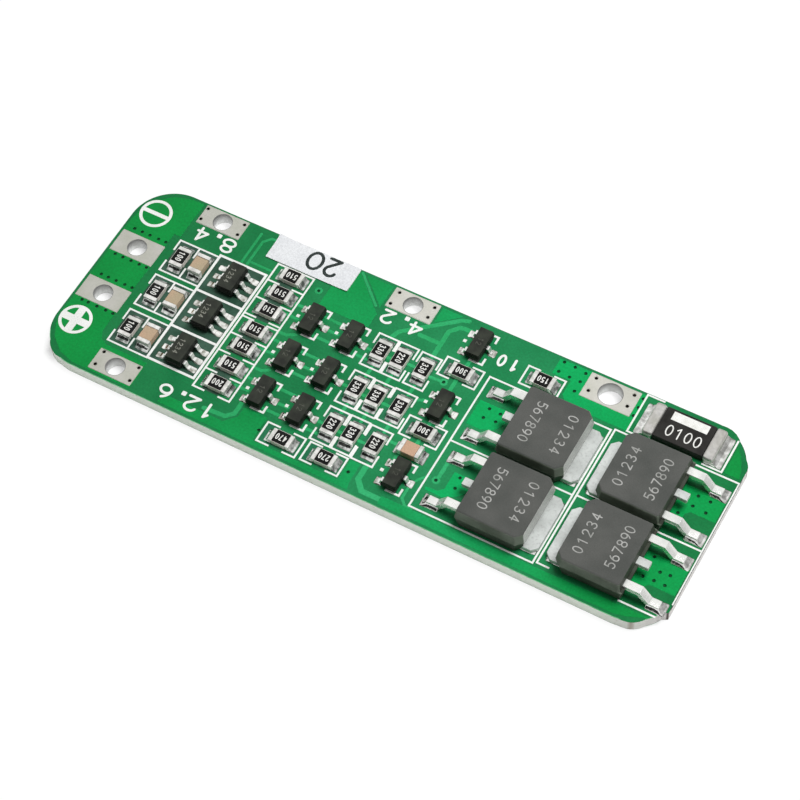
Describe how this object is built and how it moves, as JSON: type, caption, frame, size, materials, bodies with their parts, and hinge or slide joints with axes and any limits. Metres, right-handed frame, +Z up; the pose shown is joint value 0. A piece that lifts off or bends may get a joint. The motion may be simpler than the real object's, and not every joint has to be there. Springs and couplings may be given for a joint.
{
  "type": "battery management board",
  "caption": "Slim green circuit board that protects and balances a small cell pack, with power transistors at one end, chips along it and tinned wire terminals on its edges.",
  "frame": {"origin": "middle of the board's underside", "axes": "+X along the board from the plus and minus terminals to the power transistors, +Y across it to the edge with three terminals, +Z up out of the component side"},
  "size_m": [0.059, 0.02, 0.0036],
  "materials": {
    "green_board": "glossy green solder mask over laminate",
    "tinned_pad": "dull tinned copper",
    "solder": "bright uneven solder",
    "lead_metal": "matte tin plate",
    "cap_metal": "matte tin plate",
    "grey_mould": "fine-grained moulded epoxy",
    "black_mould": "fine-grained moulded epoxy",
    "shunt_coat": "smooth dark coating",
    "resistor_film": "dark glaze on white ceramic",
    "tan_ceramic": "matte tan ceramic",
    "white_print": "matte screen-printed ink",
    "label_paper": "matte paper label"
  },
  "bodies": {
    "root": {"capacitor_bodies": "tan_ceramic", "capacitor_end_caps": "cap_metal", "cell_resistor_bodies": "resistor_film", "cell_resistor_end_caps": "cap_metal", "chip_solder": "solder", "circuit_board": "green_board", "grid_resistor_bodies": "resistor_film", "grid_resistor_end_caps": "cap_metal", "ladder_resistor_bodies": "resistor_film", "ladder_resistor_end_caps": "cap_metal", "lead_solder": "solder", "mosfet_1_body": "grey_mould", "mosfet_1_leads": "lead_metal", "mosfet_1_tab": "lead_metal", "mosfet_2_body": "grey_mould", "mosfet_2_leads": "lead_metal", "mosfet_2_tab": "lead_metal", "mosfet_3_body": "grey_mould", "mosfet_3_leads": "lead_metal", "mosfet_3_tab": "lead_metal", "mosfet_4_body": "grey_mould", "mosfet_4_leads": "lead_metal", "mosfet_4_tab": "lead_metal", "paper_label": "label_paper", "power_solder": "solder", "printed_marks": "white_print", "protector_1_body": "black_mould", "protector_1_leads": "lead_metal", "protector_2_body": "black_mould", "protector_2_leads": "lead_metal", "protector_3_body": "black_mould", "protector_3_leads": "lead_metal", "shunt_body": "shunt_coat", "shunt_end_caps": "cap_metal", "single_resistor_bodies": "resistor_film", "single_resistor_end_caps": "cap_metal", "terminal_cell_high": "tinned_pad", "terminal_cell_low": "tinned_pad", "terminal_minus": "tinned_pad", "terminal_pack_plus": "tinned_pad", "terminal_pack_zero": "tinned_pad", "terminal_plus": "tinned_pad", "transistor_1_body": "black_mould", "transistor_1_leads": "lead_metal", "transistor_2_body": "black_mould", "transistor_2_leads": "lead_metal", "transistor_3_body": "black_mould", "transistor_3_leads": "lead_metal", "transistor_4_body": "black_mould", "transistor_4_leads": "lead_metal", "transistor_5_body": "black_mould", "transistor_5_leads": "lead_metal", "transistor_6_body": "black_mould", "transistor_6_leads": "lead_metal", "transistor_7_body": "black_mould", "transistor_7_leads": "lead_metal", "transistor_8_body": "black_mould", "transistor_8_leads": "lead_metal", "transistor_9_body": "black_mould", "transistor_9_leads": "lead_metal"}
  },
  "joints": []
}
